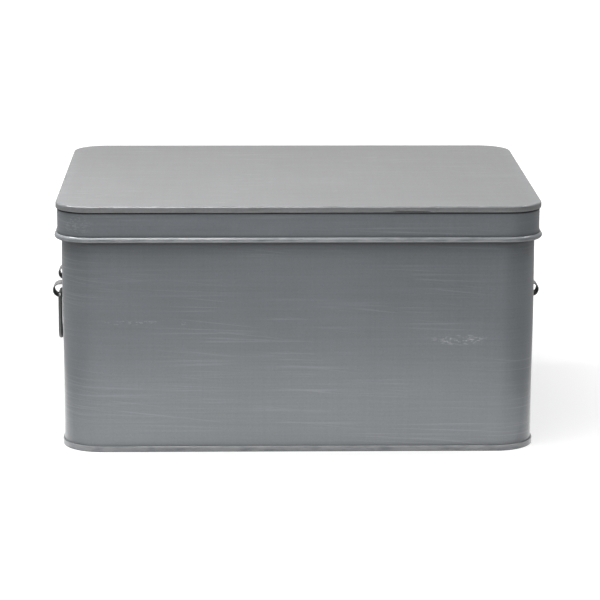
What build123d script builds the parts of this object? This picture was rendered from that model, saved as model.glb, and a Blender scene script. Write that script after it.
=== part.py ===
from build123d import *
from math import asin, degrees
import os

# Lidded sheet-metal storage box with a wire drop handle on ears at each end.
# Millimetres, +Z up, +X to the right end, -Y to the front.
# The origin is the middle of the box on the surface that it stands on.

# Driving dimensions of the box
body_length = 340.0
body_width = 264.0
overall_height = 180.0
body_corner_radius = 27.0
sheet = 0.5
seam_play = 0.05
fold_round = 0.4

# Bottom seam, where the bottom panel is folded round the wall
base_seam_height = 4.2

# Body mouth, with its hem folded inward
mouth_hem_depth = 8.0
lid_rest_gap = 0.3

# Lid
lid_side_gap = 2.2
lid_corner_radius = 24.0
lid_height = 26.2
rim_seam_height = 4.2

# Bead round the lid's lower edge, rolled over a wire
bead_wire_diameter = 3.0
bead_slot = 0.35

# Lock seam where the ends of each wrapped sheet meet, at the middle of the back
lock_seam_width = 7.0
lock_seam_proud = 0.35

# Ears: straps bent to a loop, with a foot above and a foot below
ear_strap = 1.0
ear_width = 12.5
ear_reach = 12.2
ear_loop_height = 10.6
ear_foot_length = 10.0
ear_bend_radius = 0.8
ear_spacing = 62.0
ear_centre_height = 98.5

# Rivets that hold the ear feet to the wall
rivet_shank_diameter = 3.0
rivet_head_diameter = 6.0
rivet_head_height = 1.4
rivet_clench_radius = 2.4
rivet_clench_height = 0.8
rivet_play = 0.05

# Drop handles of bent wire
handle_wire_diameter = 3.0
handle_drop = 33.0
handle_offset = 6.4
handle_corner_radius = 6.0
handle_end_bend_radius = 2.6
handle_ear_gap = 0.4
handle_seat_gap = 0.3
handle_end_past_ear = 2.5

# Levels and offsets worked out from the driving dimensions
half_length = body_length / 2
half_width = body_width / 2
wall_foot = sheet + seam_play
lid_underside = overall_height - sheet
mouth_height = lid_underside - lid_rest_gap
lid_foot = overall_height - lid_height
rim_foot = overall_height - rim_seam_height
bead_radius = bead_wire_diameter / 2 + seam_play + sheet
bead_centre_height = lid_foot + bead_radius
lid_half_length = half_length + lid_side_gap + sheet
lid_half_width = half_width + lid_side_gap + sheet
wire_radius = handle_wire_diameter / 2
ear_inner_half_height = ear_loop_height / 2 - ear_strap
pivot_height = ear_centre_height - ear_inner_half_height + handle_seat_gap + wire_radius
pivot_x = half_length + handle_offset
leg_y = (ear_spacing + ear_width) / 2 + handle_ear_gap + handle_end_bend_radius
handle_end_y = (ear_spacing - ear_width) / 2 - handle_end_past_ear
rivet_offset = ear_loop_height / 2 + ear_foot_length / 2

os.makedirs("parts", exist_ok=True)


def outline_path(half_x, half_y, corner_radius):
    """A rounded rectangle that starts and ends at the middle of the back."""
    with BuildLine() as outline:
        FilletPolyline(
            (0, half_y),
            (-half_x, half_y),
            (-half_x, -half_y),
            (0, -half_y),
            radius=corner_radius,
        )
        mirror(about=Plane.YZ)
    return outline.wire()


wall_path = outline_path(half_length, half_width, body_corner_radius)
lid_path = outline_path(lid_half_length, lid_half_width, lid_corner_radius)

# Body wall: one sheet wrapped round, hemmed at the mouth and folded outward at the foot
fold_top = base_seam_height - wall_foot
with BuildPart() as body_wall:
    with BuildSketch(Plane.YZ) as wall_section:
        with BuildLine():
            Polyline(
                (half_width - 2 * sheet, mouth_height - sheet),
                (half_width - 2 * sheet, mouth_height - mouth_hem_depth),
                (half_width - sheet, mouth_height - mouth_hem_depth),
                (half_width - sheet, wall_foot),
                (half_width + sheet, wall_foot),
                (half_width + sheet, fold_top),
                (half_width, fold_top),
                (half_width, mouth_height - sheet),
            )
            ThreePointArc(
                (half_width, mouth_height - sheet),
                (half_width - sheet, mouth_height),
                (half_width - 2 * sheet, mouth_height - sheet),
            )
        make_face()
    sweep(path=wall_path)
    # Lock seam of the wall, a flat raised strip from the foot seam to the mouth
    with BuildSketch(Plane.XY.offset(base_seam_height)):
        with Locations((0, half_width + lock_seam_proud / 2)):
            Rectangle(lock_seam_width, lock_seam_proud)
    extrude(amount=mouth_height - sheet - base_seam_height)
    # Rivet holes of the ears, two for each ear
    for side in (-1, 1):
        with Locations(Plane((side * half_length, 0, ear_centre_height), x_dir=(0, 1, 0), z_dir=(side, 0, 0))):
            with GridLocations(ear_spacing, 2 * rivet_offset, 2, 2):
                Hole(rivet_shank_diameter / 2 + rivet_play, depth=3 * sheet)
body_wall.part.label = "body_wall"
export_step(body_wall.part, "parts/body_wall.step")

# Bottom panel: a flat sheet whose edge is turned up and folded over the wall's foot
skirt_inner = half_width + sheet + seam_play
skirt_outer = skirt_inner + sheet
with BuildPart() as bottom_panel:
    with BuildSketch() as floor_outline:
        RectangleRounded(
            body_length + 2 * (skirt_inner - half_width),
            body_width + 2 * (skirt_inner - half_width),
            body_corner_radius + skirt_inner - half_width,
        )
    extrude(amount=sheet)
    with BuildSketch(Plane.YZ) as skirt_section:
        with BuildLine():
            Polyline(
                (skirt_outer, 0),
                (skirt_outer, base_seam_height),
                (half_width + seam_play, base_seam_height),
                (half_width + seam_play, base_seam_height - sheet),
                (skirt_inner, base_seam_height - sheet),
                (skirt_inner, 0),
                close=True,
            )
        make_face()
        outer_corners = skirt_section.vertices().group_by(Axis.Y)[-1]
        fillet(outer_corners, fold_round)
    sweep(path=wall_path)
bottom_panel.part.label = "bottom_panel"
export_step(bottom_panel.part, "parts/bottom_panel.step")

# Lid band: one sheet wrapped round, folded outward at the top and rolled over a wire below
band_inner = half_width + lid_side_gap
band_outer = band_inner + sheet
fold_centre = lid_underside - seam_play - sheet
with BuildPart() as lid_band:
    with BuildSketch(Plane.YZ) as band_section:
        with BuildLine():
            Polyline(
                (band_outer + sheet, fold_centre),
                (band_outer + sheet, rim_foot + wall_foot),
                (band_outer, rim_foot + wall_foot),
                (band_outer, bead_centre_height + bead_radius - sheet / 2),
                (band_inner, bead_centre_height + bead_radius - sheet / 2),
                (band_inner, fold_centre),
            )
            ThreePointArc(
                (band_inner, fold_centre),
                (band_outer, fold_centre + sheet),
                (band_outer + sheet, fold_centre),
            )
        make_face()
        with Locations((band_outer, bead_centre_height)):
            Circle(bead_radius)
            Circle(bead_radius - sheet, mode=Mode.SUBTRACT)
        # The slot where the rolled edge ends against the band
        with Locations((band_outer + bead_slot / 2, bead_centre_height + bead_radius - sheet / 2)):
            Rectangle(bead_slot, 2 * sheet, mode=Mode.SUBTRACT)
    sweep(path=lid_path)
    # Lock seam of the band, from the bead to the rim
    with BuildSketch(Plane.XY.offset(bead_centre_height + bead_radius)):
        with Locations((0, band_outer + lock_seam_proud / 2)):
            Rectangle(lock_seam_width, lock_seam_proud)
    extrude(amount=rim_foot - seam_play - bead_centre_height - bead_radius)
lid_band.part.label = "lid_band"
export_step(lid_band.part, "parts/lid_band.step")

# Lid bead wire: the wire that the band's lower edge is rolled over
with BuildPart() as lid_bead_wire:
    with BuildSketch(Plane.YZ):
        with Locations((band_outer, bead_centre_height)):
            Circle(bead_wire_diameter / 2)
    sweep(path=lid_path)
lid_bead_wire.part.label = "lid_bead_wire"
export_step(lid_bead_wire.part, "parts/lid_bead_wire.step")

# Lid top: a flat sheet whose edge is turned down and hooked under the band's fold
rim_inner = band_outer + sheet + seam_play
rim_outer = rim_inner + sheet
rim_bend = sheet + seam_play
with BuildPart() as lid_top:
    with BuildSketch(Plane.XY.offset(lid_underside)):
        RectangleRounded(
            2 * (lid_half_length - sheet),
            2 * (lid_half_width - sheet),
            lid_corner_radius - sheet,
        )
    extrude(amount=sheet)
    with BuildSketch(Plane.YZ) as rim_section:
        with BuildLine():
            Polyline(
                (band_outer, lid_underside),
                (band_inner, lid_underside),
                (band_inner, overall_height),
                (band_outer, overall_height),
            )
            CenterArc((band_outer, fold_centre), rim_bend + sheet, 0, 90)
            Polyline(
                (rim_outer, fold_centre),
                (rim_outer, rim_foot),
                (band_outer + seam_play, rim_foot),
                (band_outer + seam_play, rim_foot + sheet),
                (rim_inner, rim_foot + sheet),
                (rim_inner, fold_centre),
            )
            CenterArc((band_outer, fold_centre), rim_bend, 0, 90)
        make_face()
        fillet(rim_section.vertices().group_by(Axis.Y)[0].sort_by(Axis.X)[-1], fold_round)
    sweep(path=lid_path)
lid_top.part.label = "lid_top"
export_step(lid_top.part, "parts/lid_top.step")


def ear_loop(side, y_centre):
    """A strap bent to a round-nosed loop, with one foot above it and one below."""
    with BuildPart() as ear:
        strap_plane = Plane((0, y_centre, 0), x_dir=(side, 0, 0), z_dir=(0, -side, 0))
        with BuildSketch(strap_plane) as strap:
            with Locations((half_length + ear_strap / 2, ear_centre_height)):
                Rectangle(ear_strap, ear_loop_height + 2 * ear_foot_length)
            nose_radius = ear_loop_height / 2
            nose_centre = half_length + ear_reach - nose_radius
            with Locations((nose_centre, ear_centre_height)):
                Circle(nose_radius)
            with Locations(((half_length + nose_centre) / 2, ear_centre_height)):
                Rectangle(nose_centre - half_length, ear_loop_height)
            with Locations((nose_centre, ear_centre_height)):
                Circle(nose_radius - ear_strap, mode=Mode.SUBTRACT)
            with Locations(((half_length + nose_centre) / 2, ear_centre_height)):
                Rectangle(nose_centre - half_length, ear_loop_height - 2 * ear_strap, mode=Mode.SUBTRACT)
            wall_side = strap.vertices().group_by(Axis.X)[0].sort_by(Axis.Y)
            fillet(wall_side[1:-1], ear_bend_radius + ear_strap)
            foot_side = strap.vertices().filter_by(
                lambda corner: abs(corner.X - half_length - ear_strap) < seam_play
            )
            fillet(foot_side.sort_by(Axis.Y)[1:-1], ear_bend_radius)
        extrude(amount=ear_width / 2, both=True)
        rivet_plane = Plane(
            (side * (half_length + ear_strap), y_centre, ear_centre_height),
            x_dir=(0, 1, 0),
            z_dir=(side, 0, 0),
        )
        with Locations(rivet_plane):
            with GridLocations(0, 2 * rivet_offset, 1, 2):
                Hole(rivet_shank_diameter / 2 + rivet_play, depth=2 * ear_strap)
    return ear.part


def ear_rivets(side, y_centre):
    """Two round-headed rivets through the ear's feet, clenched inside the wall."""
    head_seat = half_length + ear_strap + rivet_play
    head_radius = rivet_head_diameter / 2
    dome_radius = (head_radius**2 + rivet_head_height**2) / (2 * rivet_head_height)
    dome_centre = head_seat + rivet_head_height - dome_radius
    clench_face = half_length - sheet - rivet_play
    shank_radius = rivet_shank_diameter / 2
    with BuildPart() as rivets:
        for height in (-rivet_offset, rivet_offset):
            level = ear_centre_height + height
            with BuildSketch(Plane((0, y_centre, level), x_dir=(side, 0, 0), z_dir=(0, -side, 0))):
                with Locations((dome_centre, 0)):
                    Circle(dome_radius)
                # Keep the upper half of the dome in front of the foot
                with Locations((head_seat + dome_radius, dome_radius)):
                    Rectangle(2 * dome_radius, 2 * dome_radius, mode=Mode.INTERSECT)
                with Locations(((head_seat + clench_face) / 2, shank_radius / 2)):
                    Rectangle(head_seat - clench_face, shank_radius)
                with Locations((clench_face - rivet_clench_height / 2, rivet_clench_radius / 2)):
                    Rectangle(rivet_clench_height, rivet_clench_radius)
            revolve(axis=Axis((0, y_centre, level), (1, 0, 0)))
    return rivets.part


def drop_handle(side):
    """A wire bent to a drop, with its two ends turned in through the ears."""
    with BuildPart() as handle:
        hang_plane = Plane((side * pivot_x, 0, 0), x_dir=(0, 1, 0), z_dir=(1, 0, 0))
        with BuildLine(hang_plane) as wire_route:
            FilletPolyline(
                (-handle_end_y, pivot_height),
                (-leg_y, pivot_height),
                (-leg_y, pivot_height - handle_drop),
                (leg_y, pivot_height - handle_drop),
                (leg_y, pivot_height),
                (handle_end_y, pivot_height),
                radius=[
                    handle_end_bend_radius,
                    handle_corner_radius,
                    handle_corner_radius,
                    handle_end_bend_radius,
                ],
            )
        with BuildSketch(Plane(origin=wire_route.wire() @ 0, z_dir=wire_route.wire() % 0)):
            Circle(wire_radius)
        sweep(path=wire_route.wire())
    return handle.part


for side_name, side in (("left", -1), ("right", 1)):
    handle = drop_handle(side)
    handle.label = side_name + "_handle"
    export_step(handle, "parts/" + handle.label + ".step")
    for place_name, y_centre in (("front", -ear_spacing / 2), ("back", ear_spacing / 2)):
        ear = ear_loop(side, y_centre)
        ear.label = side_name + "_" + place_name + "_ear"
        export_step(ear, "parts/" + ear.label + ".step")
        rivets = ear_rivets(side, y_centre)
        rivets.label = ear.label + "_rivets"
        export_step(rivets, "parts/" + rivets.label + ".step")

# How far a handle swings before its grip meets the wall
grip_reach = handle_offset - wire_radius
swing_past_vertical = degrees(asin(grip_reach / handle_drop))
print("handle pivot", pivot_x, pivot_height, "swings past vertical by", round(swing_past_vertical, 2))
print("handle leg y", leg_y, "rivet offset", rivet_offset)
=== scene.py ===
import bpy
import numpy as np
from mathutils import Euler, Matrix, Vector


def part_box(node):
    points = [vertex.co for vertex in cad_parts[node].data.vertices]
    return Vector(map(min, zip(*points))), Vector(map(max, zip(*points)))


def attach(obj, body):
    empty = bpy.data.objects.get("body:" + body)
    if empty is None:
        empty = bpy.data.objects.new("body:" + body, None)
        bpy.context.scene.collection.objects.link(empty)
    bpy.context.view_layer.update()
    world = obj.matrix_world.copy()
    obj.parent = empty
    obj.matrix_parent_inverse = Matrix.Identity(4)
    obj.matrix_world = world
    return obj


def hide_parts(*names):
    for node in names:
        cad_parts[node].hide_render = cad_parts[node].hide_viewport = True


# Lidded sheet-metal storage box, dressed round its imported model. Metres, +Z up, -Y to the front.
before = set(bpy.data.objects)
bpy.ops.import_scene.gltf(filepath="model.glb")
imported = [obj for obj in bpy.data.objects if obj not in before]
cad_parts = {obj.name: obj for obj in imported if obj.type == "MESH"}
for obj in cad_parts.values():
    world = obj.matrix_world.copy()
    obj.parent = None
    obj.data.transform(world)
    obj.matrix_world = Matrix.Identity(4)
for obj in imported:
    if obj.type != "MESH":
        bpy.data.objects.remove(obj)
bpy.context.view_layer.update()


# The body wall
# One thin sheet wrapped round a rounded rectangle, its ends joined by a flat lock seam at the
# middle of the back, hemmed inward at the mouth and folded outward at the foot, brushed grey.
SHEET = 0.0005
SEAM_PLAY = 0.00005
BODY_CORNER = 0.027
HEM_DEPTH = 0.008
LOCK_SEAM_HALF = 0.0035
LOCK_SEAM_PROUD = 0.00035
WALL_BULGE = 0.00045
wall_low, wall_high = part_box("body_wall")
BASE_SEAM_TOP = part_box("bottom_panel")[1].z
BODY_HALF_X = wall_high.x - SHEET
BODY_HALF_Y = -wall_low.y - SHEET
MOUTH = wall_high.z


def rounded_outline(half_x, half_y, corner, side_steps=46, corner_steps=26):
    """Points once round a rounded rectangle, from the middle of the back by way of the left end.

    A point runs round a smaller rectangle, the corners' centres, while a spoke of the corner's
    length points outward from it and turns a quarter turn at each corner. Gives the spoke's
    ends, its directions, and on the back the distance from its middle, elsewhere half_x.
    """
    flat_x, flat_y = half_x - corner, half_y - corner
    side = np.linspace(0.0, 1.0, side_steps, endpoint=False)
    quarter = np.linspace(0.0, 1.0, corner_steps, endpoint=False)
    # Extra steps close to the lock seam at the middle of the back
    beside_seam = np.array([0.0, 0.5, 0.9, 0.96, 1.0, 1.04, 1.1, 1.4, 2.0]) * LOCK_SEAM_HALF / flat_x
    past_seam = np.linspace(3.0 * LOCK_SEAM_HALF / flat_x, 1.0, side_steps // 2)[:-1]
    back = np.concatenate([beside_seam, past_seam])
    # Each leg: its centre's start and end, the spoke's first and last angle, its steps as shares
    legs = [
        ((0.0, flat_y), (-flat_x, flat_y), 90.0, 90.0, back),
        ((-flat_x, flat_y), (-flat_x, flat_y), 90.0, 180.0, quarter),
        ((-flat_x, flat_y), (-flat_x, -flat_y), 180.0, 180.0, side),
        ((-flat_x, -flat_y), (-flat_x, -flat_y), 180.0, 270.0, quarter),
        ((-flat_x, -flat_y), (flat_x, -flat_y), 270.0, 270.0, side),
        ((flat_x, -flat_y), (flat_x, -flat_y), 270.0, 360.0, quarter),
        ((flat_x, -flat_y), (flat_x, flat_y), 360.0, 360.0, side),
        ((flat_x, flat_y), (flat_x, flat_y), 360.0, 450.0, quarter),
        ((flat_x, flat_y), (0.0, flat_y), 450.0, 450.0, 1.0 - back[:0:-1]),
    ]
    centres = [np.outer(1.0 - share, start) + np.outer(share, end) for start, end, _, _, share in legs]
    angle = np.radians(np.concatenate([first + (last - first) * share for _, _, first, last, share in legs]))
    spokes = np.column_stack([np.cos(angle), np.sin(angle)])
    points = np.concatenate(centres) + corner * spokes
    on_back = points[:, 1] > half_y - 1e-6
    return points, spokes, np.where(on_back, np.abs(points[:, 0]), half_x)


def bend(centre_offset, centre_height, radius, start_degrees, end_degrees, steps=7):
    """Points of a bend in the sheet: an arc in the plane of offset from the wall and height."""
    angle = np.radians(np.linspace(start_degrees, end_degrees, steps))
    return np.stack([centre_offset + radius * np.cos(angle), centre_height + radius * np.sin(angle)], axis=1)


def run(start, end, steps=2):
    """Evenly spaced points on a straight run of the sheet, its ends a hair inside the run.

    The ends stay clear of the bends beside them, so that smooth shading keeps the run flat.
    """
    share = np.linspace(0.02, 0.98, steps)[:, None]
    return (1.0 - share) * np.array(start) + share * np.array(end)


def hand_made(x, y, z=0.2):
    """Slow unevenness of hand-worked sheet, about -1 to 1: a sum of three skewed sine waves.

    z is left out for a flat sheet or an edge, which is uneven along X and Y only.
    """
    return (
        0.5 * np.sin(17.0 * x + 9.0 * z + 1.3) * np.cos(15.0 * y - 6.0 * z + 0.4)
        + 0.3 * np.sin(41.0 * x - 23.0 * y + 31.0 * z + 2.1)
        + 0.2 * np.sin(73.0 * x + 61.0 * y - 47.0 * z + 0.7)
    )


def add_mesh(name, points, quads, caps=(), **marks):
    """Makes a smooth mesh object of a point array and a quad array, turned outward.

    The signed volume is the sum of each face's corner product; where it is negative, all faces
    are turned over. marks are values per point, from 0 to 1, kept as attributes: one for worn
    paint with painted highlight on a fold, one for painted shade with some dirt in a crease or
    under a fold.
    """
    faces = quads.tolist() + [list(cap) for cap in caps]
    a, b, c, d = (points[quads[:, k]] for k in range(4))
    volume = np.einsum("ij,ij->i", a, np.cross(b, c)).sum() + np.einsum("ij,ij->i", a, np.cross(c, d)).sum()
    for cap in caps:
        corners = points[list(cap)]
        volume += (np.cross(corners[1:-1], corners[2:]) @ corners[0]).sum()
    if volume < 0:
        faces = [face[::-1] for face in faces]
    mesh = bpy.data.meshes.new(name)
    mesh.from_pydata(points.tolist(), [], faces)
    mesh.shade_smooth()
    for mark, values in marks.items():
        mesh.attributes.new(mark, "FLOAT", "POINT").data.foreach_set("value", values.astype(np.float32))
    piece = bpy.data.objects.new(name, mesh)
    bpy.context.scene.collection.objects.link(piece)
    return piece


def ring_quads(rings, around, close_rings=True):
    """Quads of a grid of closed rings, with the last ring joined to the first if they close."""
    ring = np.arange(rings if close_rings else rings - 1)[:, None]
    step = np.arange(around)[None, :]
    step_next = (step + 1) % around
    start, start_next = ring * around, (ring + 1) % rings * around
    corners = [start + step, start_next + step, start_next + step_next, start + step_next]
    return np.stack(corners, axis=-1).reshape(-1, 4)


def mark(rub=0.0, grime=0.0, waver=0.0):
    """Worn paint with painted highlight, and painted shade with some dirt, on a stretch of sheet, from 0 to
    1, and how far its edge wavers.
    """
    return rub, grime, waver


PLAIN = mark()
# A crease darkened with painted shade and some dirt
CREASE_SHADE = mark(grime=1.0)


def lay_out(*parts):
    """Joins runs and bends, each with its marks, into one closed section.

    Gives the points, as offset from the wall and height, and a row of the three marks for each.
    """
    section = np.concatenate([points for points, _ in parts])
    marks = np.concatenate([np.tile(marks, (len(points), 1)) for points, marks in parts])
    return section, marks


def wrap_sheet(name, outline, section, marks, bulge, bulge_heights, seam):
    """A folded sheet: the closed section carried once round the outline.

    Each point is the outline point, moved out along its normal by the section's offset, at the
    section's height. bulge moves the sheet in and out by the hand-made unevenness, fading to
    nothing at the two bulge heights, and a point's waver moves it up and down. seam marks the
    section points that lift by the lock seam's thickness within the seam's half width.
    """
    points, normals, from_seam = outline
    offset = np.broadcast_to(section[:, 0], (len(points), len(section))).copy()
    height = np.broadcast_to(section[:, 1], offset.shape).copy()
    low, high = bulge_heights
    share = np.clip((height - low) / (high - low), 0.0, 1.0)
    offset += bulge * np.sin(np.pi * share) ** 0.7 * hand_made(points[:, :1], points[:, 1:], height)
    height += marks[None, :, 2] * hand_made(points[:, :1], points[:, 1:])
    seam_edge = 0.08 * LOCK_SEAM_HALF
    lift = np.clip((LOCK_SEAM_HALF - from_seam) / seam_edge + 0.5, 0.0, 1.0)
    offset += LOCK_SEAM_PROUD * lift[:, None] * seam[None, :]
    place = points[:, None, :] + offset[..., None] * normals[:, None, :]
    grid = np.concatenate([place, height[..., None]], axis=2).reshape(-1, 3)
    rub, grime = (np.tile(marks[:, k], len(points)) for k in (0, 1))
    return add_mesh(name, grid, ring_quads(*offset.shape), rub=rub, grime=grime)


wall_foot = SHEET + SEAM_PLAY
fold_top = BASE_SEAM_TOP - wall_foot
CREASE_HEIGHT = 0.00015
CREASE_FADE = 0.0003
crease_line = BASE_SEAM_TOP + CREASE_HEIGHT
lid_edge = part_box("lid_band")[0].z
# The painted shadow, with some dirt, on the wall under the lid's edge. Each stretch: its foot and
# its top, as heights from the edge, and its darkness, which fades from one stretch to the next
BEAD_SHADOW_FOOT = -0.0055
BEAD_SHADOW_LINE = [(-0.0034, -0.0033, 0.08), (-0.0022, -0.0021, 0.2), (-0.0012, 0.0015, 0.6)]
BEAD_SHADOW_TOP = 0.003
bead_shadow_line = [
    (run((0.0, lid_edge + foot), (0.0, lid_edge + top)), mark(grime=grime))
    for foot, top, grime in BEAD_SHADOW_LINE
]
# Darkening marks on the wall: painted shade with some dirt in the crease at the foot and in the hem, and the
# painted shadow under the lid's bead. The pale mark on the mouth's fold is worn paint, which also paints
# highlight.
wall_section, wall_marks = lay_out(
    (run((SHEET, wall_foot), (SHEET, fold_top)), PLAIN),
    (run((SHEET, fold_top), (0.0, fold_top)), PLAIN),
    (run((0.0, fold_top), (0.0, crease_line)), mark(grime=0.25)),
    (run((0.0, crease_line + CREASE_FADE), (0.0, lid_edge + BEAD_SHADOW_FOOT), steps=42), PLAIN),
    *bead_shadow_line,
    (run((0.0, lid_edge + BEAD_SHADOW_TOP), (0.0, MOUTH - SHEET), steps=8), PLAIN),
    (bend(-SHEET, MOUTH - SHEET, SHEET, 0.0, 180.0, steps=9), mark(rub=0.8)),
    (run((-2 * SHEET, MOUTH - SHEET), (-2 * SHEET, MOUTH - HEM_DEPTH), steps=4), PLAIN),
    (run((-2 * SHEET, MOUTH - HEM_DEPTH), (-SHEET, MOUTH - HEM_DEPTH)), mark(rub=0.2, grime=0.5)),
    (run((-SHEET, MOUTH - HEM_DEPTH), (-SHEET, wall_foot), steps=48), PLAIN),
    (run((-SHEET, wall_foot), (SHEET, wall_foot)), PLAIN),
)
wall_outer = (np.abs(wall_section[:, 0]) < 1e-9) & (wall_section[:, 1] > BASE_SEAM_TOP)
body_outline = rounded_outline(BODY_HALF_X, BODY_HALF_Y, BODY_CORNER)
body_wall = wrap_sheet(
    "painted_body_wall",
    body_outline,
    wall_section,
    wall_marks,
    bulge=WALL_BULGE,
    bulge_heights=(BASE_SEAM_TOP, MOUTH - HEM_DEPTH),
    seam=wall_outer.astype(float),
)
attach(body_wall, "box")
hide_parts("body_wall")


def add_node(tree, kind, settings=None, **inputs):
    """Adds a shader node, sets its properties, and sets or links its inputs by name.

    An input named a_0 stands for the socket of that number, and spaces are written as one _.
    """
    node = tree.nodes.new("ShaderNode" + kind)
    for key, value in (settings or {}).items():
        setattr(node, key, value)
    for key, value in inputs.items():
        socket = node.inputs[int(key[2:])] if key.startswith("a_") else node.inputs[key.replace("_", " ")]
        if isinstance(value, bpy.types.NodeSocket):
            tree.links.new(value, socket)
        else:
            socket.default_value = value
    return node


def math_node(tree, operation, first, second=0.0, clamp=False):
    """The output of one Math node."""
    settings = {"operation": operation, "use_clamp": clamp}
    return add_node(tree, "Math", settings, a_0=first, a_1=second).outputs[0]


def weighted_sum(tree, start, *terms):
    """A start value plus each term's value times its weight."""
    total = start
    for value, weight in terms:
        total = math_node(tree, "ADD", total, math_node(tree, "MULTIPLY", value, weight))
    return total


def between(tree, value, low, high):
    """A value's smooth share of the way from low to high, from 0 to 1."""
    settings = {"interpolation_type": "SMOOTHSTEP"}
    return add_node(tree, "MapRange", settings, a_0=value, a_1=low, a_2=high).outputs[0]


def noise(tree, place, detail, roughness=0.6):
    """The output of one Noise node, one unit of place to a grain."""
    return add_node(tree, "TexNoise", Vector=place, Scale=1.0, Detail=detail, Roughness=roughness).outputs[0]


def grain(tree, scale, detail=4.0, roughness=0.6):
    """Noise on Object coordinates, stretched by a different scale along X, Y and Z."""
    place = add_node(tree, "TexCoord").outputs["Object"]
    mapping = add_node(tree, "Mapping", Vector=place, Scale=scale)
    return noise(tree, mapping.outputs[0], detail, roughness)


def new_group(name, inputs, outputs):
    """An empty shader node group with inputs, given with kind and default, and float outputs."""
    group = bpy.data.node_groups.new(name, "ShaderNodeTree")
    for label, kind, default in inputs:
        socket = group.interface.new_socket(label, in_out="INPUT", socket_type="NodeSocket" + kind)
        socket.default_value = default
    for label in outputs:
        group.interface.new_socket(label, in_out="OUTPUT", socket_type="NodeSocketFloat")
    return group, group.nodes.new("NodeGroupInput"), group.nodes.new("NodeGroupOutput")


def place_group(tree, group, **inputs):
    """Places a node group in a material, with its inputs set by name."""
    node = tree.nodes.new("ShaderNodeGroup")
    node.node_tree = group
    for key, value in inputs.items():
        node.inputs[key.replace("_", " ")].default_value = value
    return node


def brush_work():
    """Masks of hand brushing on the paint.

    Streaks are long pale hairlines, noise stretched along the stroke and cut off high, level
    or falling a little to the right, in patches; Strokes and Uprights are its soft tone along
    and across; Cloud is broad mottling and Speckle the fine tooth of the paint.
    """
    inputs = [("Along", "Vector", (10.0, 10.0, 600.0)), ("Across", "Vector", (420.0, 420.0, 9.0))]
    outputs = ["Streaks", "Strokes", "Uprights", "Cloud", "Speckle"]
    group, entry, out = new_group("brush_work", inputs, outputs)
    place = add_node(group, "TexCoord").outputs["Object"]

    def stretched(socket, slant, detail):
        """Noise turned by the slant in the plane of X and Z, then stretched along the stroke."""
        turned = add_node(group, "Mapping", Vector=place, Rotation=(0.0, slant, 0.0))
        mapping = add_node(group, "Mapping", Vector=turned.outputs[0])
        group.links.new(entry.outputs[socket], mapping.inputs["Scale"])
        return noise(group, mapping.outputs[0], detail)

    hairlines = 0.0
    for slant, thin, full in ((-0.11, 0.62, 0.74), (-0.035, 0.6, 0.72), (0.006, 0.61, 0.73)):
        lines = between(group, stretched("Along", slant, 2.0), thin, full)
        hairlines = math_node(group, "MAXIMUM", lines, hairlines)
    patches = between(group, grain(group, (9.0, 9.0, 21.0), detail=1.0), 0.36, 0.58)
    masks = {
        "Streaks": math_node(group, "MULTIPLY", hairlines, patches),
        "Strokes": stretched("Along", 0.0, 5.0),
        "Uprights": stretched("Across", 0.0, 4.0),
        "Cloud": grain(group, (11.0, 11.0, 13.0), detail=3.0, roughness=0.5),
        "Speckle": grain(group, (820.0, 820.0, 820.0), detail=2.0),
    }
    for label, value in masks.items():
        group.links.new(value, out.inputs[label])
    return group


def worn_and_highlit_edges():
    """Where paint is worn along folds, which also paints highlight there: the fold's mark, broken up by fine
    noise.
    """
    group, entry, out = new_group("worn_and_highlit_edges", [("Wear And Highlight", "Float", 0.0)], ["Worn"])
    flecks = between(group, grain(group, (60.0, 60.0, 300.0)), 0.3, 0.62)
    worn_and_highlit = math_node(group, "MULTIPLY", entry.outputs["Wear And Highlight"], flecks)
    group.links.new(worn_and_highlit, out.inputs["Worn"])
    return group


SCUFF_FRONT = -0.1


def scuff():
    """One scuffed place on the front: specks inside an oval, thinning out to its rim.

    The specks thin out with the sum of the squares of the distances from the oval's centre
    along X and Z, each as a share of the half length or half height, which is 1 on the rim.
    """
    sizes = [("Half Length", "Float", 0.02), ("Half Height", "Float", 0.005), ("Strength", "Float", 1.0)]
    inputs = [("Centre X", "Float", 0.0), ("Centre Z", "Float", 0.0), *sizes]
    group, entry, out = new_group("scuff", inputs, ["Specks"])
    place = add_node(group, "SeparateXYZ", Vector=add_node(group, "TexCoord").outputs["Object"])
    spread = 0.0
    for axis, centre, half in (("X", "Centre X", "Half Length"), ("Z", "Centre Z", "Half Height")):
        away = math_node(group, "SUBTRACT", place.outputs[axis], entry.outputs[centre])
        share = math_node(group, "ABSOLUTE", math_node(group, "DIVIDE", away, entry.outputs[half]))
        spread = math_node(group, "ADD", math_node(group, "POWER", share, 2.0), spread)
    inside = math_node(group, "SUBTRACT", 1.0, spread, clamp=True)
    front = math_node(group, "LESS_THAN", place.outputs["Y"], SCUFF_FRONT)
    specks = between(group, grain(group, (330.0, 330.0, 1100.0), detail=2.0, roughness=0.7), 0.5, 0.66)
    mask = math_node(group, "MULTIPLY", math_node(group, "MULTIPLY", inside, front), specks)
    mask = math_node(group, "MULTIPLY", mask, entry.outputs["Strength"])
    group.links.new(mask, out.inputs["Specks"])
    return group


brush_group, worn_and_highlit_group, scuff_group = brush_work(), worn_and_highlit_edges(), scuff()


def blend(tree, share, first, second, kind="MIX"):
    """The colour output of one Mix node."""
    settings = {"data_type": "RGBA", "blend_type": kind}
    return add_node(tree, "Mix", settings, a_0=share, a_6=first, a_7=second).outputs[2]


STREAKED_PAINT = (0.46, 0.47, 0.48, 1.0)
# The pale worn colour also paints highlight on folds
WORN_AND_HIGHLIGHT_PAINT = (0.3, 0.31, 0.32, 1.0)
# The near black paints shade in creases and under folds, with some dirt
SHADE_AND_GRIME_COLOUR = (0.008, 0.008, 0.009, 1.0)
STREAK_STRENGTH = 0.13
COAT_WEIGHT = 0.5


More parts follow.
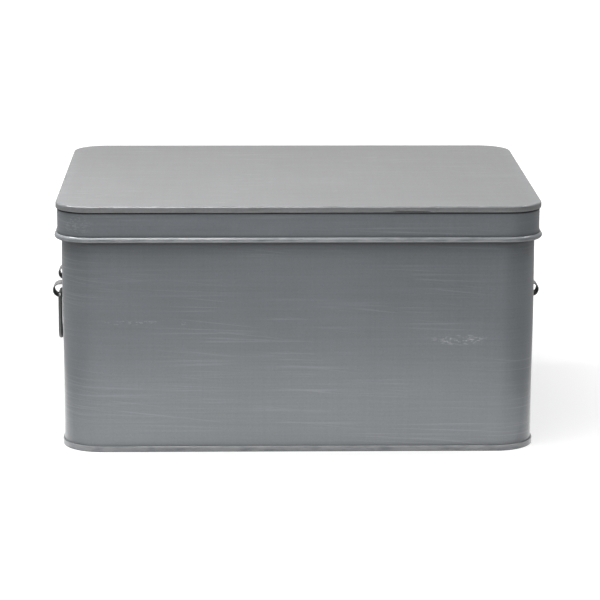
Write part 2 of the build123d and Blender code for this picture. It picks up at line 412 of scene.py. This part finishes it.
def painted_sheet(name, colour, roughness=0.34, tone=0.26, scuffs=(), **grain_scales):
    """Satin grey paint, brushed on by hand: streaked, mottled, worn and painted with highlight on folds,
    painted with shade and some dirt in creases.

    The paint's tone is 1 plus each brush mask, centred on 0, times its weight. Scuffs are
    given as centre along X and Z, half length, half height and strength.
    """
    material = bpy.data.materials.new(name)
    material.use_nodes = True
    tree = material.node_tree
    shader = tree.nodes["Principled BSDF"]
    shader.inputs["Coat Roughness"].default_value = 0.16
    brush = place_group(tree, brush_group, **grain_scales)
    strokes, uprights, cloud, speckle = (
        math_node(tree, "SUBTRACT", brush.outputs[mask], 0.5)
        for mask in ("Strokes", "Uprights", "Cloud", "Speckle")
    )
    tones = ((strokes, tone), (uprights, 0.4 * tone), (speckle, 0.9 * tone), (cloud, 1.2 * tone))
    paint = blend(tree, 1.0, (*colour, 1.0), weighted_sum(tree, 1.0, *tones), "MULTIPLY")
    pale = math_node(tree, "MULTIPLY", brush.outputs["Streaks"], STREAK_STRENGTH)
    labels = ("Centre_X", "Centre_Z", "Half_Length", "Half_Height", "Strength")
    for scuffed_place in scuffs:
        specks = place_group(tree, scuff_group, **dict(zip(labels, scuffed_place))).outputs["Specks"]
        pale = math_node(tree, "ADD", pale, specks, clamp=True)
    paint = blend(tree, pale, paint, STREAKED_PAINT)
    # Worn paint on folds, which also paints highlight there
    worn_and_highlit = place_group(tree, worn_and_highlit_group)
    tree.links.new(add_node(tree, "Attribute", {"attribute_name": "rub"}).outputs["Fac"], worn_and_highlit.inputs["Wear And Highlight"])
    paint = blend(tree, worn_and_highlit.outputs["Worn"], paint, WORN_AND_HIGHLIGHT_PAINT)
    # Painted shade and dirt in creases lie thicker where the mottling is pale, and take the sheen off the
    # paint
    grime = add_node(tree, "Attribute", {"attribute_name": "grime"}).outputs["Fac"]
    thickness = math_node(tree, "ADD", brush.outputs["Cloud"], 0.45, clamp=True)
    grime = math_node(tree, "MULTIPLY", grime, thickness)
    paint = blend(tree, grime, paint, SHADE_AND_GRIME_COLOUR)
    tree.links.new(paint, shader.inputs["Base Color"])
    clean = math_node(tree, "SUBTRACT", 1.0, grime, clamp=True)
    tree.links.new(math_node(tree, "MULTIPLY", clean, COAT_WEIGHT), shader.inputs["Coat Weight"])
    gloss = weighted_sum(tree, roughness, (strokes, 0.16), (cloud, 0.2), (grime, 0.4))
    tree.links.new(gloss, shader.inputs["Roughness"])
    relief = weighted_sum(tree, strokes, (uprights, 0.5))
    bump = add_node(tree, "Bump", Height=relief, Strength=0.1, Distance=0.0004)
    tree.links.new(bump.outputs[0], shader.inputs["Normal"])
    return material


FRONT_SCUFFS = [
    (0.115, 0.0825, 0.023, 0.0045, 0.7),
    (-0.119, 0.0955, 0.024, 0.0022, 0.4),
    (-0.082, 0.0945, 0.003, 0.0016, 0.4),
    (0.123, 0.032, 0.003, 0.0012, 0.4),
]
PAINT = (0.155, 0.169, 0.182)
body_wall.data.materials.append(painted_sheet("box_paint", PAINT, scuffs=FRONT_SCUFFS))


# The bottom panel
# A flat sheet, its edge turned up outside the wall's fold and hooked over it, which shows as
# the pale band along the foot of the box, its paint paler than the wall's as painted highlight.
FOLD_ROUND = 0.0004
skirt_in = SHEET + SEAM_PLAY
skirt_out = skirt_in + SHEET
FLOOR_RINGS = 14
# The faces take their unevenness from a place this far off, so that they differ from the edge
SAG_SHIFT = 0.31


def flat_sheet_with_skirt(name, outline, skirt, marks, levels, rings, sag, inset):
    """A flat sheet closed by a folded skirt at its edge.

    The skirt's section, from the end of the sheet's upper face to that of its lower one, is
    carried round the outline. Both faces close over rings that shrink to a pole in the middle,
    and sag below their level by the hand-made unevenness, which fades out at the edge.
    """
    points, normals, _ = outline
    around = len(points)

    def row(place, height):
        """One ring of points at a height."""
        return np.column_stack([place, np.broadcast_to(height, around)])

    def sagging(place, share):
        """The sag times the unevenness, from 0 to 1, faded out over the outer sixth."""
        unevenness = 0.5 + 0.5 * hand_made(place[:, 0] + SAG_SHIFT, place[:, 1])
        return -sag * np.clip(6.0 * share, 0.0, 1.0) * unevenness

    shares = np.linspace(0.0, 1.0, rings + 1)[1:-1]
    faces = []
    for level in levels:
        places = [(points + inset * normals) * (1.0 - share) for share in shares]
        faces.append([row(place, level + sagging(place, share)) for place, share in zip(places, shares)])
    skirt_rows = [
        row(points + offset * normals, height + waver * hand_made(points[:, 0], points[:, 1]))
        for (offset, height), waver in zip(skirt, marks[:, 2])
    ]
    rows = faces[0][::-1] + skirt_rows + faces[1]
    middle_sag = sagging(np.zeros((1, 2)), 1.0)[0]
    poles = np.array([[0.0, 0.0, level + middle_sag] for level in levels])
    grid = np.concatenate(rows + [poles])
    step = np.arange(around)
    last = (len(rows) - 1) * around
    upper_fan = np.column_stack([np.full(around, len(grid) - 2), step, (step + 1) % around])
    lower_fan = np.column_stack([np.full(around, len(grid) - 1), last + (step + 1) % around, last + step])
    face_points = np.zeros(len(shares) * around)
    rub, grime = (
        np.concatenate([face_points, np.repeat(marks[:, k], around), face_points, np.zeros(2)])
        for k in (0, 1)
    )
    quads = ring_quads(len(rows), around, close_rings=False)
    return add_mesh(name, grid, quads, [*upper_fan.tolist(), *lower_fan.tolist()], rub=rub, grime=grime)


# Marks on the skirt: the pale outer face is worn paint with painted highlight; the crease against the wall
# and the lower round and underside of the fold are darkened with painted shade and some dirt.
skirt_section, skirt_marks = lay_out(
    (run((-SHEET, SHEET), (skirt_in, SHEET)), PLAIN),
    (run((skirt_in, SHEET), (skirt_in, BASE_SEAM_TOP - SHEET)), PLAIN),
    (run((skirt_in, BASE_SEAM_TOP - SHEET), (SEAM_PLAY, BASE_SEAM_TOP - SHEET)), PLAIN),
    (run((SEAM_PLAY, BASE_SEAM_TOP - SHEET), (SEAM_PLAY, BASE_SEAM_TOP)), CREASE_SHADE),
    (run((SEAM_PLAY, BASE_SEAM_TOP), (0.25 * SHEET, BASE_SEAM_TOP)), mark(grime=0.25)),
    (run((0.4 * SHEET, BASE_SEAM_TOP), (skirt_out - FOLD_ROUND, BASE_SEAM_TOP)), mark(rub=0.5)),
    (bend(skirt_out - FOLD_ROUND, BASE_SEAM_TOP - FOLD_ROUND, FOLD_ROUND, 90.0, 0.0), mark(rub=1.0)),
    (run((skirt_out, BASE_SEAM_TOP - FOLD_ROUND), (skirt_out, FOLD_ROUND), steps=4), mark(rub=1.0)),
    (bend(skirt_out - FOLD_ROUND, FOLD_ROUND, FOLD_ROUND, 0.0, -90.0), mark(grime=0.6)),
    (run((skirt_out - FOLD_ROUND, 0.0), (-SHEET, 0.0)), mark(grime=0.3)),
)
bottom_panel = flat_sheet_with_skirt(
    "painted_bottom_panel",
    body_outline,
    skirt_section,
    skirt_marks,
    levels=(SHEET, 0.0),
    rings=FLOOR_RINGS,
    sag=0.0,
    inset=-2 * SHEET,
)
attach(bottom_panel, "box")
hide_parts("bottom_panel")
# Paler than the wall's paint, which paints highlight on the seam band
SEAM_PAINT_WITH_HIGHLIGHT = (0.185, 0.2, 0.213)
FLAT_STROKES = {"Along": (9.0, 190.0, 560.0), "Across": (300.0, 9.0, 9.0)}
bottom_panel.data.materials.append(painted_sheet("seam_paint_with_highlight", SEAM_PAINT_WITH_HIGHLIGHT, **FLAT_STROKES))


# The lid band
# One sheet wrapped round with a gap of 2.2 mm to the wall, folded outward at the top for the
# rim seam, and rolled outward over a wire at its lower edge into a round bead.
band_low, band_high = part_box("lid_band")
top_low, top_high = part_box("lid_top")
wire_low, wire_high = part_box("lid_bead_wire")
BEAD_RADIUS = 0.5 * (wire_high.z - wire_low.z) + SEAM_PLAY + SHEET
BEAD_SLOT = 0.00035
BEAD_WAVER = 0.00005
BAND_BULGE = 0.00025
# How far the painted shade and dirt in the creases at the rim and the bead reach over the band, and where
# they end
CREASE_UNDER_RIM = 0.0009
CLEAN_FROM_RIM = 0.0016
CREASE_OVER_BEAD = 0.0008
CLEAN_FROM_BEAD = 0.0016
LID_CORNER = 0.024
LID_HALF_X = band_high.x - BEAD_RADIUS
LID_HALF_Y = -band_low.y - BEAD_RADIUS
BEAD_CENTRE = band_low.z + BEAD_RADIUS
RIM_FOOT = top_low.z
LID_TOP = top_high.z
fold_centre = LID_TOP - SHEET - SEAM_PLAY - SHEET
bead_top = np.degrees(np.arccos(-SHEET / BEAD_RADIUS))
bead_slot_angle = np.degrees(np.arccos(BEAD_SLOT / BEAD_RADIUS))
bead_slot_inner = np.degrees(np.arccos(BEAD_SLOT / (BEAD_RADIUS - SHEET)))
bead_join = BEAD_CENTRE + BEAD_RADIUS * np.sin(np.radians(bead_top))
# Marks on the band: the pale bead face is worn paint with painted highlight; the dark bead underside is
# painted shade; the bead's slot and the creases under the rim and over the bead are painted shade with some
# dirt.
bead_edge = mark(rub=0.3, grime=0.2, waver=BEAD_WAVER)
bead_face = mark(rub=0.7, waver=BEAD_WAVER)
bead_shade = mark(grime=0.7, waver=BEAD_WAVER)
bead_underside = mark(grime=1.0, waver=BEAD_WAVER)
band_section, band_marks = lay_out(
    (run((SHEET, fold_centre), (SHEET, RIM_FOOT + wall_foot)), PLAIN),
    (run((SHEET, RIM_FOOT + wall_foot), (0.0, RIM_FOOT + wall_foot)), PLAIN),
    (run((0.0, RIM_FOOT + wall_foot), (0.0, RIM_FOOT - CREASE_UNDER_RIM)), CREASE_SHADE),
    (run((0.0, RIM_FOOT - CLEAN_FROM_RIM), (0.0, bead_join + CLEAN_FROM_BEAD), steps=12), PLAIN),
    (run((0.0, bead_join + CREASE_OVER_BEAD), (0.0, BEAD_CENTRE + BEAD_RADIUS - SHEET)), mark(grime=0.25)),
    (bend(0.0, BEAD_CENTRE, BEAD_RADIUS - SHEET, 90.0, 360.0, steps=28), PLAIN),
    (bend(0.0, BEAD_CENTRE, BEAD_RADIUS - SHEET, 0.0, bead_slot_inner, steps=10), CREASE_SHADE),
    (bend(0.0, BEAD_CENTRE, BEAD_RADIUS, bead_slot_angle, bead_slot_angle - 4.0, steps=2), bead_edge),
    (bend(0.0, BEAD_CENTRE, BEAD_RADIUS, bead_slot_angle - 8.0, -30.0, steps=22), bead_face),
    (bend(0.0, BEAD_CENTRE, BEAD_RADIUS, -48.0, -54.0), bead_shade),
    (bend(0.0, BEAD_CENTRE, BEAD_RADIUS, -60.0, -180.0, steps=18), bead_underside),
    (bend(0.0, BEAD_CENTRE, BEAD_RADIUS, 180.0, bead_top, steps=12), PLAIN),
    (run((-SHEET, bead_join), (-SHEET, fold_centre), steps=12), PLAIN),
    (bend(0.0, fold_centre, SHEET, 180.0, 0.0), PLAIN),
)
band_face = np.abs(band_section[:, 0]) < 1e-9
band_outer = band_face & (band_section[:, 1] > bead_join) & (band_section[:, 1] < RIM_FOOT)
lid_outline = rounded_outline(LID_HALF_X, LID_HALF_Y, LID_CORNER)
lid_band = wrap_sheet(
    "painted_lid_band",
    lid_outline,
    band_section,
    band_marks,
    bulge=BAND_BULGE,
    bulge_heights=(bead_join, RIM_FOOT),
    seam=band_outer.astype(float),
)
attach(lid_band, "lid")
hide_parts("lid_band")
BAND_SCUFFS = [(-0.157, 0.1665, 0.012, 0.0085, 0.3)]
lid_band.data.materials.append(painted_sheet("lid_paint", PAINT, scuffs=BAND_SCUFFS))


# The lid's top
# A flat sheet, its edge turned down over the band's fold and hooked under it: the rim seam.
rim_in = SHEET + SEAM_PLAY
rim_out = rim_in + SHEET
TOP_SAG = 0.0007
TOP_RINGS = 22
RIM_WAVER = 0.00008
# Marks on the rim: the pale fold is worn paint with painted highlight; the dark underside of the fold and
# its crease are painted shade with some dirt.
rim_edge = mark(rub=0.5, waver=RIM_WAVER)
rim_underside = mark(grime=1.0, waver=RIM_WAVER)
rim_section, rim_marks = lay_out(
    (run((-2 * SHEET, LID_TOP), (0.0, LID_TOP)), mark(rub=0.2)),
    (bend(0.0, fold_centre, rim_out, 90.0, 0.0, steps=10), mark(rub=0.4)),
    (run((rim_out, fold_centre), (rim_out, RIM_FOOT + FOLD_ROUND), steps=4), mark(rub=0.2)),
    (bend(rim_out - FOLD_ROUND, RIM_FOOT + FOLD_ROUND, FOLD_ROUND, 0.0, -60.0), rim_edge),
    (run((rim_out - FOLD_ROUND, RIM_FOOT), (SEAM_PLAY, RIM_FOOT)), rim_underside),
    (run((SEAM_PLAY, RIM_FOOT), (SEAM_PLAY, RIM_FOOT + SHEET)), CREASE_SHADE),
    (run((SEAM_PLAY, RIM_FOOT + SHEET), (rim_in, RIM_FOOT + SHEET)), PLAIN),
    (run((rim_in, RIM_FOOT + SHEET), (rim_in, fold_centre)), PLAIN),
    (bend(0.0, fold_centre, rim_in, 0.0, 90.0), PLAIN),
    (run((0.0, LID_TOP - SHEET), (-2 * SHEET, LID_TOP - SHEET)), PLAIN),
)
lid_top = flat_sheet_with_skirt(
    "painted_lid_top",
    lid_outline,
    rim_section,
    rim_marks,
    levels=(LID_TOP, LID_TOP - SHEET),
    rings=TOP_RINGS,
    sag=TOP_SAG,
    inset=-3 * SHEET,
)
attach(lid_top, "lid")
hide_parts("lid_top")
TOP_PAINT = (0.168, 0.17, 0.173)
lid_top.data.materials.append(painted_sheet("top_paint", TOP_PAINT, tone=0.4, **FLAT_STROKES))


# The lid's bead wire
# A ring of plain drawn steel wire that stiffens the bead. The band's edge is rolled round it,
# so that it is hardly seen.
def drawn_steel(name, colour, roughness):
    """Dull drawn steel with fine scratches, a little stained."""
    material = bpy.data.materials.new(name)
    material.use_nodes = True
    tree = material.node_tree
    shader = tree.nodes["Principled BSDF"]
    shader.inputs["Metallic"].default_value = 0.85
    stain = grain(tree, (260.0, 260.0, 260.0), detail=5.0)
    scratch = grain(tree, (900.0, 900.0, 160.0), detail=3.0)
    tone = weighted_sum(tree, 0.75, (stain, 0.5))
    tree.links.new(blend(tree, 1.0, (*colour, 1.0), tone, "MULTIPLY"), shader.inputs["Base Color"])
    gloss = weighted_sum(tree, roughness - 0.1, (scratch, 0.2))
    tree.links.new(gloss, shader.inputs["Roughness"])
    bump = add_node(tree, "Bump", Height=scratch, Strength=0.15, Distance=0.0002)
    tree.links.new(bump.outputs[0], shader.inputs["Normal"])
    return material


def dress(node, material):
    """Gives a carried-over node its material."""
    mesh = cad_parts[node].data
    mesh.materials.clear()
    mesh.materials.append(material)


dress("lid_bead_wire", drawn_steel("bead_wire_steel", (0.3, 0.3, 0.3), roughness=0.4))


# The ears
# Four steel straps, one for each end of each handle, bent to a round-nosed loop with a flat
# foot above and below. Each foot is fixed to the wall by a rivet through it.
EAR_THICKNESS = 0.001
EAR_BEND = 0.0008
ear_low, ear_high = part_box("right_front_ear")
EAR_FACE = ear_low.x
EAR_REACH = ear_high.x - ear_low.x
EAR_WIDTH = ear_high.y - ear_low.y
EAR_CENTRE_Z = 0.5 * (ear_low.z + ear_high.z)
EAR_LOOP_HALF = 0.0053
RIDGE_HEIGHT = 0.00018
RIDGE_WIDTH = 0.0007


def strap_line():
    """The strap's middle line, from the end of its lower foot round the nose to the upper one.

    Up the foot, a quarter turn out from the wall, along the loop's flat, half a turn round the
    nose, and back the same way. Gives distance from the wall, height, and the outward normal.
    """
    half = 0.5 * EAR_THICKNESS
    nose_radius = EAR_LOOP_HALF - half
    nose_x = EAR_REACH - EAR_LOOP_HALF
    corner_radius = EAR_BEND + half
    foot_end = EAR_CENTRE_Z - ear_low.z
    corner_x, corner_z = half + corner_radius, nose_radius + corner_radius

    def stretch(x, z, out_x, out_z):
        """Rows of a point and its outward normal; a single number holds for all of them."""
        return np.column_stack(np.broadcast_arrays(x, z, out_x, out_z))

    foot = stretch(half, np.linspace(-foot_end, -corner_z, 8), 1.0, 0.0)
    angle = np.radians(np.linspace(180.0, 90.0, 9)[1:-1])
    cos, sin = np.cos(angle), np.sin(angle)
    corner = stretch(corner_x + corner_radius * cos, -corner_z + corner_radius * sin, -cos, -sin)
    flat = stretch(np.linspace(corner_x, nose_x, 6), -nose_radius, 0.0, -1.0)
    angle = np.radians(np.linspace(-90.0, 0.0, 15)[1:])
    cos, sin = np.cos(angle), np.sin(angle)
    nose = stretch(nose_x + nose_radius * cos, nose_radius * sin, cos, sin)
    lower = np.concatenate([foot, corner, flat, nose])
    upper = lower[:-1][::-1] * np.array([1.0, -1.0, 1.0, -1.0])
    return np.concatenate([lower, upper])


def strap_section():
    """Across the strap: a flat oblong with rounded edges and two low ridges on its outer face."""
    half_width, half = 0.5 * EAR_WIDTH, 0.5 * EAR_THICKNESS
    round_angle = np.radians(np.linspace(90.0, -90.0, 9))
    edge = np.column_stack([half_width - half + half * np.cos(round_angle), half * np.sin(round_angle)])
    across = np.linspace(-half_width + half, half_width - half, 25)[1:-1]
    ridge = np.exp(-(((np.abs(across) - 0.5 * half_width) / RIDGE_WIDTH) ** 2))
    outer = np.column_stack([across, half + RIDGE_HEIGHT * ridge - RIDGE_HEIGHT])
    inner = np.column_stack([across[::-1], np.full(len(across), -half)])
    return np.concatenate([outer, edge, inner, edge[::-1] * np.array([-1.0, 1.0])])


def strap_ear(name, side, y_centre):
    """The strap's section carried along its line, square to it, and squared off at both feet."""
    line, section = strap_line(), strap_section()
    depth = line[:, None, 0] + section[None, :, 1] * line[:, None, 2]
    height = line[:, None, 1] + section[None, :, 1] * line[:, None, 3]
    x = side * (EAR_FACE + depth)
    y = np.broadcast_to(y_centre + section[None, :, 0], x.shape)
    grid = np.stack([x, y, EAR_CENTRE_Z + height], axis=-1).reshape(-1, 3)
    around = len(section)
    caps = [list(range(around))[::-1], list(range((len(line) - 1) * around, len(line) * around))]
    inner = np.tile((section[:, 1] < 0.0).astype(float), len(line))
    return add_mesh(name, grid, ring_quads(len(line), around, close_rings=False), caps, inner=inner)


EAR_GREY = (0.26, 0.26, 0.26, 1.0)
# Near black for the painted shade on the strap's inner face
EAR_SHADE_BLACK = (0.004, 0.004, 0.004, 1.0)


def strap_steel():
    """Grey painted steel strap, its inner face, where the inner mark says, painted near black as the shade
    inside the loop.
    """
    material = bpy.data.materials.new("ear_strap")
    material.use_nodes = True
    tree = material.node_tree
    shader = tree.nodes["Principled BSDF"]
    inner = add_node(tree, "Attribute", {"attribute_name": "inner"}).outputs["Fac"]
    stain = grain(tree, (420.0, 420.0, 420.0), detail=5.0)
    outside = blend(tree, 1.0, EAR_GREY, weighted_sum(tree, 0.75, (stain, 0.5)), "MULTIPLY")
    tree.links.new(blend(tree, inner, outside, EAR_SHADE_BLACK), shader.inputs["Base Color"])
    tree.links.new(weighted_sum(tree, 0.35, (stain, 0.2)), shader.inputs["Roughness"])
    bump = add_node(tree, "Bump", Height=stain, Strength=0.2, Distance=0.0002)
    tree.links.new(bump.outputs[0], shader.inputs["Normal"])
    return material


ear_steel = strap_steel()
rivet_steel = drawn_steel("rivet_steel", (0.26, 0.27, 0.28), roughness=0.45)
for end_name, side in (("left", -1.0), ("right", 1.0)):
    for place_name in ("front", "back"):
        node = end_name + "_" + place_name + "_ear"
        low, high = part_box(node)
        ear = strap_ear(end_name + "_" + place_name + "_strap", side, 0.5 * (low.y + high.y))
        ear.data.materials.append(ear_steel)
        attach(ear, "box")
        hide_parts(node)
        dress(node + "_rivets", rivet_steel)


# The handles
# A 3 mm steel wire at each end of the box, bent to a drop. Its two ends are turned in through
# the ears, where it swings.
handle_steel = drawn_steel("handle_wire_steel", (0.16, 0.16, 0.16), roughness=0.42)
HANDLE_CORNER = 0.006
HANDLE_END_BEND = 0.0026
HANDLE_END_PAST_EAR = 0.0025


def handle_route(leg_y, end_y, pivot_z, grip_z):
    """The wire's middle line in the plane of the drop, from one end to the other, as Y and Z.

    Out from the turned-in end, a quarter turn down into the leg, a quarter turn in to the grip,
    along the grip to its middle, and the same mirrored.
    """
    bend_y, bend_z = leg_y - HANDLE_END_BEND, pivot_z - HANDLE_END_BEND
    corner_y, corner_z = leg_y - HANDLE_CORNER, grip_z + HANDLE_CORNER

    def stretch(y, z):
        """Rows of a point; a single number holds for all of them."""
        return np.column_stack(np.broadcast_arrays(y, z))

    def quarter_turn(y, z, radius, start, end):
        """An arc round a centre, from one angle to the other in degrees."""
        angle = np.radians(np.linspace(start, end, 14))
        return stretch(y + radius * np.cos(angle), z + radius * np.sin(angle))

    half = np.concatenate(
        [
            stretch(np.linspace(end_y, bend_y, 8)[:-1], pivot_z),
            quarter_turn(bend_y, bend_z, HANDLE_END_BEND, 90.0, 0.0),
            stretch(leg_y, np.linspace(bend_z, corner_z, 12)[1:-1]),
            quarter_turn(corner_y, corner_z, HANDLE_CORNER, 0.0, -90.0),
            stretch(np.linspace(corner_y, 0.0, 14)[1:], grip_z),
        ]
    )
    return np.concatenate([half, half[:-1][::-1] * np.array([-1.0, 1.0])])


def bent_wire(name, x, route, radius, around=24):
    """A round wire carried along a route in the plane of one X, with softly rounded cut ends.

    At each point of the route, a circle stands square to the route's direction. The ring at
    either end is a little smaller, and the ring next to it a little further in.
    """
    ahead = np.gradient(route, axis=0)
    ahead /= np.linalg.norm(ahead, axis=1, keepdims=True)
    across = np.column_stack([-ahead[:, 1], ahead[:, 0]])
    across = np.concatenate([across[:1], across, across[-1:]])
    rounding = 0.12 * radius
    centre = np.concatenate([route[:1], route, route[-1:]])
    centre[1] += rounding * ahead[0]
    centre[-2] -= rounding * ahead[-1]
    size = np.full(len(centre), radius)
    size[[0, -1]] -= rounding
    angle = np.linspace(0.0, 2.0 * np.pi, around, endpoint=False)
    ring = size[:, None] * np.cos(angle)[None, :]
    y = centre[:, None, 0] + ring * across[:, None, 0]
    z = centre[:, None, 1] + ring * across[:, None, 1]
    grid = np.stack([x + size[:, None] * np.sin(angle)[None, :], y, z], axis=-1).reshape(-1, 3)
    rings = len(centre)
    caps = [list(range(around)), list(range((rings - 1) * around, rings * around))[::-1]]
    return add_mesh(name, grid, ring_quads(rings, around, close_rings=False), caps)


for end_name in ("left", "right"):
    low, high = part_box(end_name + "_handle")
    radius = 0.5 * (high.x - low.x)
    back_ear_inner_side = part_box(end_name + "_back_ear")[0].y
    end_y = back_ear_inner_side - HANDLE_END_PAST_EAR
    route = handle_route(high.y - radius, end_y, high.z - radius, low.z + radius)
    handle = bent_wire(end_name + "_wire_handle", 0.5 * (low.x + high.x), route, radius)
    handle.data.materials.append(handle_steel)
    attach(handle, end_name + "_handle")
    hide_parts(end_name + "_handle")


# The floor, the light and the camera
# A flat white floor under soft light from above, and a long lens a little above the box.
FLOOR_HALF = 3.0
floor_signs = ((-1.0, -1.0), (1.0, -1.0), (1.0, 1.0), (-1.0, 1.0))
floor_corners = [(x * FLOOR_HALF, y * FLOOR_HALF, 0.0) for x, y in floor_signs]
floor_mesh = bpy.data.meshes.new("floor")
floor_mesh.from_pydata(floor_corners, [], [(0, 1, 2, 3)])
floor = bpy.data.objects.new("floor", floor_mesh)
bpy.context.scene.collection.objects.link(floor)


def white_floor():
    """A pale matt floor, lifted to plain white where it is seen, but for the box's soft shadow.

    The lift grows with distance from the box, where the lamps reach less. In gloss the floor is
    white close to the box and dim further out, as a small white table in a dim room is.
    """
    material = bpy.data.materials.new("floor_white")
    material.use_nodes = True
    tree = material.node_tree
    shader = tree.nodes["Principled BSDF"]
    shader.inputs["Base Color"].default_value = (0.45, 0.45, 0.45, 1.0)
    shader.inputs["Roughness"].default_value = 1.0
    shader.inputs["Specular IOR Level"].default_value = 0.0
    shader.inputs["Emission Color"].default_value = (1.0, 1.0, 1.0, 1.0)
    place = add_node(tree, "TexCoord").outputs["Object"]
    narrowed = add_node(tree, "Mapping", Vector=place, Scale=(1.6, 1.0, 1.0)).outputs[0]
    distance = add_node(tree, "VectorMath", {"operation": "LENGTH"}, a_0=narrowed).outputs["Value"]
    path = add_node(tree, "LightPath")
    seen_lift = weighted_sum(tree, 0.6, (between(tree, distance, 0.25, 0.8), 0.4))
    seen_lift = math_node(tree, "MULTIPLY", path.outputs["Is Camera Ray"], seen_lift)
    mirrored = math_node(tree, "MAXIMUM", path.outputs["Is Glossy Ray"], path.outputs["Is Transmission Ray"])
    lift = weighted_sum(tree, seen_lift, (mirrored, between(tree, distance, 0.62, 0.27)))
    tree.links.new(lift, shader.inputs["Emission Strength"])
    return material


floor_mesh.materials.append(white_floor())


def studio_world(fill, backdrop):
    """White where the camera sees it; for light, a plain fill with a paler backdrop behind.

    The backdrop is the low part of the sky on the far side of the box, fading out upwards and
    towards the camera's side.
    """
    world = bpy.data.worlds.new("studio")
    world.use_nodes = True
    tree = world.node_tree
    background = tree.nodes["Background"]
    background.inputs["Color"].default_value = (1.0, 1.0, 1.0, 1.0)
    direction = add_node(tree, "SeparateXYZ", Vector=add_node(tree, "TexCoord").outputs["Generated"])
    behind = between(tree, direction.outputs["Y"], 0.1, 0.75)
    low = between(tree, direction.outputs["Z"], 0.62, 0.34)
    strength = weighted_sum(tree, fill, (math_node(tree, "MULTIPLY", behind, low), backdrop - fill))
    camera_ray = add_node(tree, "LightPath").outputs["Is Camera Ray"]
    strength = math_node(tree, "MAXIMUM", strength, camera_ray)
    tree.links.new(strength, background.inputs["Strength"])
    bpy.context.scene.world = world


studio_world(fill=0.1, backdrop=0.64)


def soft_box(name, place, aim, width, depth, watts):
    """A rectangular area light that looks at a point, itself out of sight."""
    lamp = bpy.data.lights.new(name, "AREA")
    lamp.shape = "RECTANGLE"
    lamp.size, lamp.size_y, lamp.energy = width, depth, watts
    holder = bpy.data.objects.new(name, lamp)
    holder.location = place
    holder.rotation_mode = "QUATERNION"
    holder.rotation_quaternion = (Vector(aim) - Vector(place)).to_track_quat("-Z", "Y")
    holder.visible_camera = False
    bpy.context.scene.collection.objects.link(holder)


soft_box("front_softbox", (-0.2, -0.85, 1.35), aim=(0.0, 0.0, 0.1), width=1.5, depth=1.0, watts=13.0)
soft_box("left_lamp", (-0.95, 0.15, 1.35), aim=(0.0, 0.0, 0.15), width=0.4, depth=0.4, watts=11.0)
soft_box("right_lamp", (0.95, 0.15, 1.35), aim=(0.0, 0.0, 0.15), width=0.35, depth=0.35, watts=7.5)
soft_box("lid_lamp", (-0.17, -0.18, 0.54), aim=(-0.1, -0.1, 0.18), width=0.4, depth=0.12, watts=1.7)
# The light that the white table throws up in front of the box
soft_box("table_glow", (0.0, -0.257, 0.002), aim=(0.0, -0.257, 1.0), width=0.6, depth=0.242, watts=0.27)

# The camera's place: turned slightly to one side of the front and looking down a little
CAMERA_PITCH = 0.22006
CAMERA_YAW = 0.02375
CAMERA_ROLL = 0.00308
CAMERA_DISTANCE = 1.98797
CAMERA_AIM_X = 0.00368
CAMERA_AIM_Z = 0.08229
CAMERA_LENS = 156.0
camera_data = bpy.data.cameras.new("camera")
camera_data.sensor_width = 36.0
camera_data.lens = CAMERA_LENS
camera = bpy.data.objects.new("camera", camera_data)
bpy.context.scene.collection.objects.link(camera)
turn = Matrix.Rotation(-CAMERA_YAW, 3, "Z")
tilt = Euler((0.5 * np.pi - CAMERA_PITCH, 0.0, 0.0)).to_matrix()
roll = Matrix.Rotation(CAMERA_ROLL, 3, "Z")
back = CAMERA_DISTANCE * np.cos(CAMERA_PITCH)
lift = CAMERA_DISTANCE * np.sin(CAMERA_PITCH)
back_off = Vector((CAMERA_AIM_X, -back, CAMERA_AIM_Z + lift))
camera.matrix_world = Matrix.Translation(turn @ back_off) @ (turn @ tilt @ roll).to_4x4()
bpy.context.scene.camera = camera
bpy.context.scene.view_settings.view_transform = "Standard"
